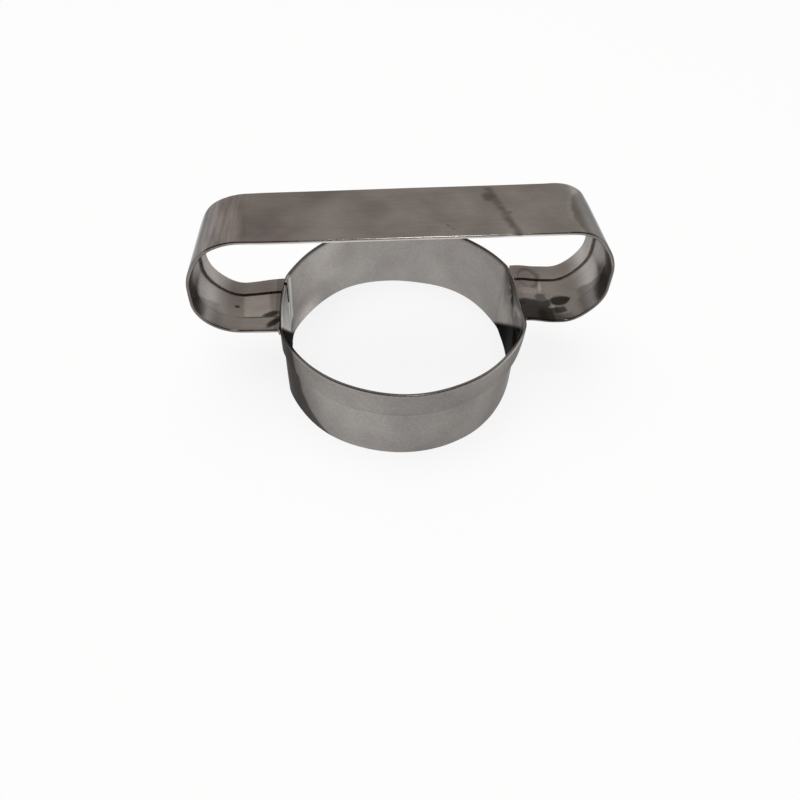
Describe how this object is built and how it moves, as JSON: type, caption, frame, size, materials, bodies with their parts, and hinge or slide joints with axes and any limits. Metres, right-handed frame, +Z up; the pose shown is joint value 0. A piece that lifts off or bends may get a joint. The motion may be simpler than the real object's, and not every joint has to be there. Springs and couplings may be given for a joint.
{
  "type": "biscuit cutter",
  "caption": "Round sheet-steel biscuit cutter with a hemmed rim and a looped strap handle spot-welded across it.",
  "frame": {"origin": "centre of the ring on the plane of its cutting edge", "axes": "+Z up from the cutting edge to the handle, +X along the handle"},
  "size_m": [0.1188, 0.0772, 0.0588],
  "materials": {
    "ring_steel": "satin, lightly grained",
    "strap_steel": "mill polished, worn",
    "weld_steel": "dull, pressed by the electrodes"
  },
  "bodies": {
    "root": {"cutting_ring": "ring_steel", "handle_strap": "strap_steel", "left_tab_welds": "weld_steel", "right_tab_welds": "weld_steel", "ring_seam_welds": "weld_steel"}
  },
  "joints": []
}
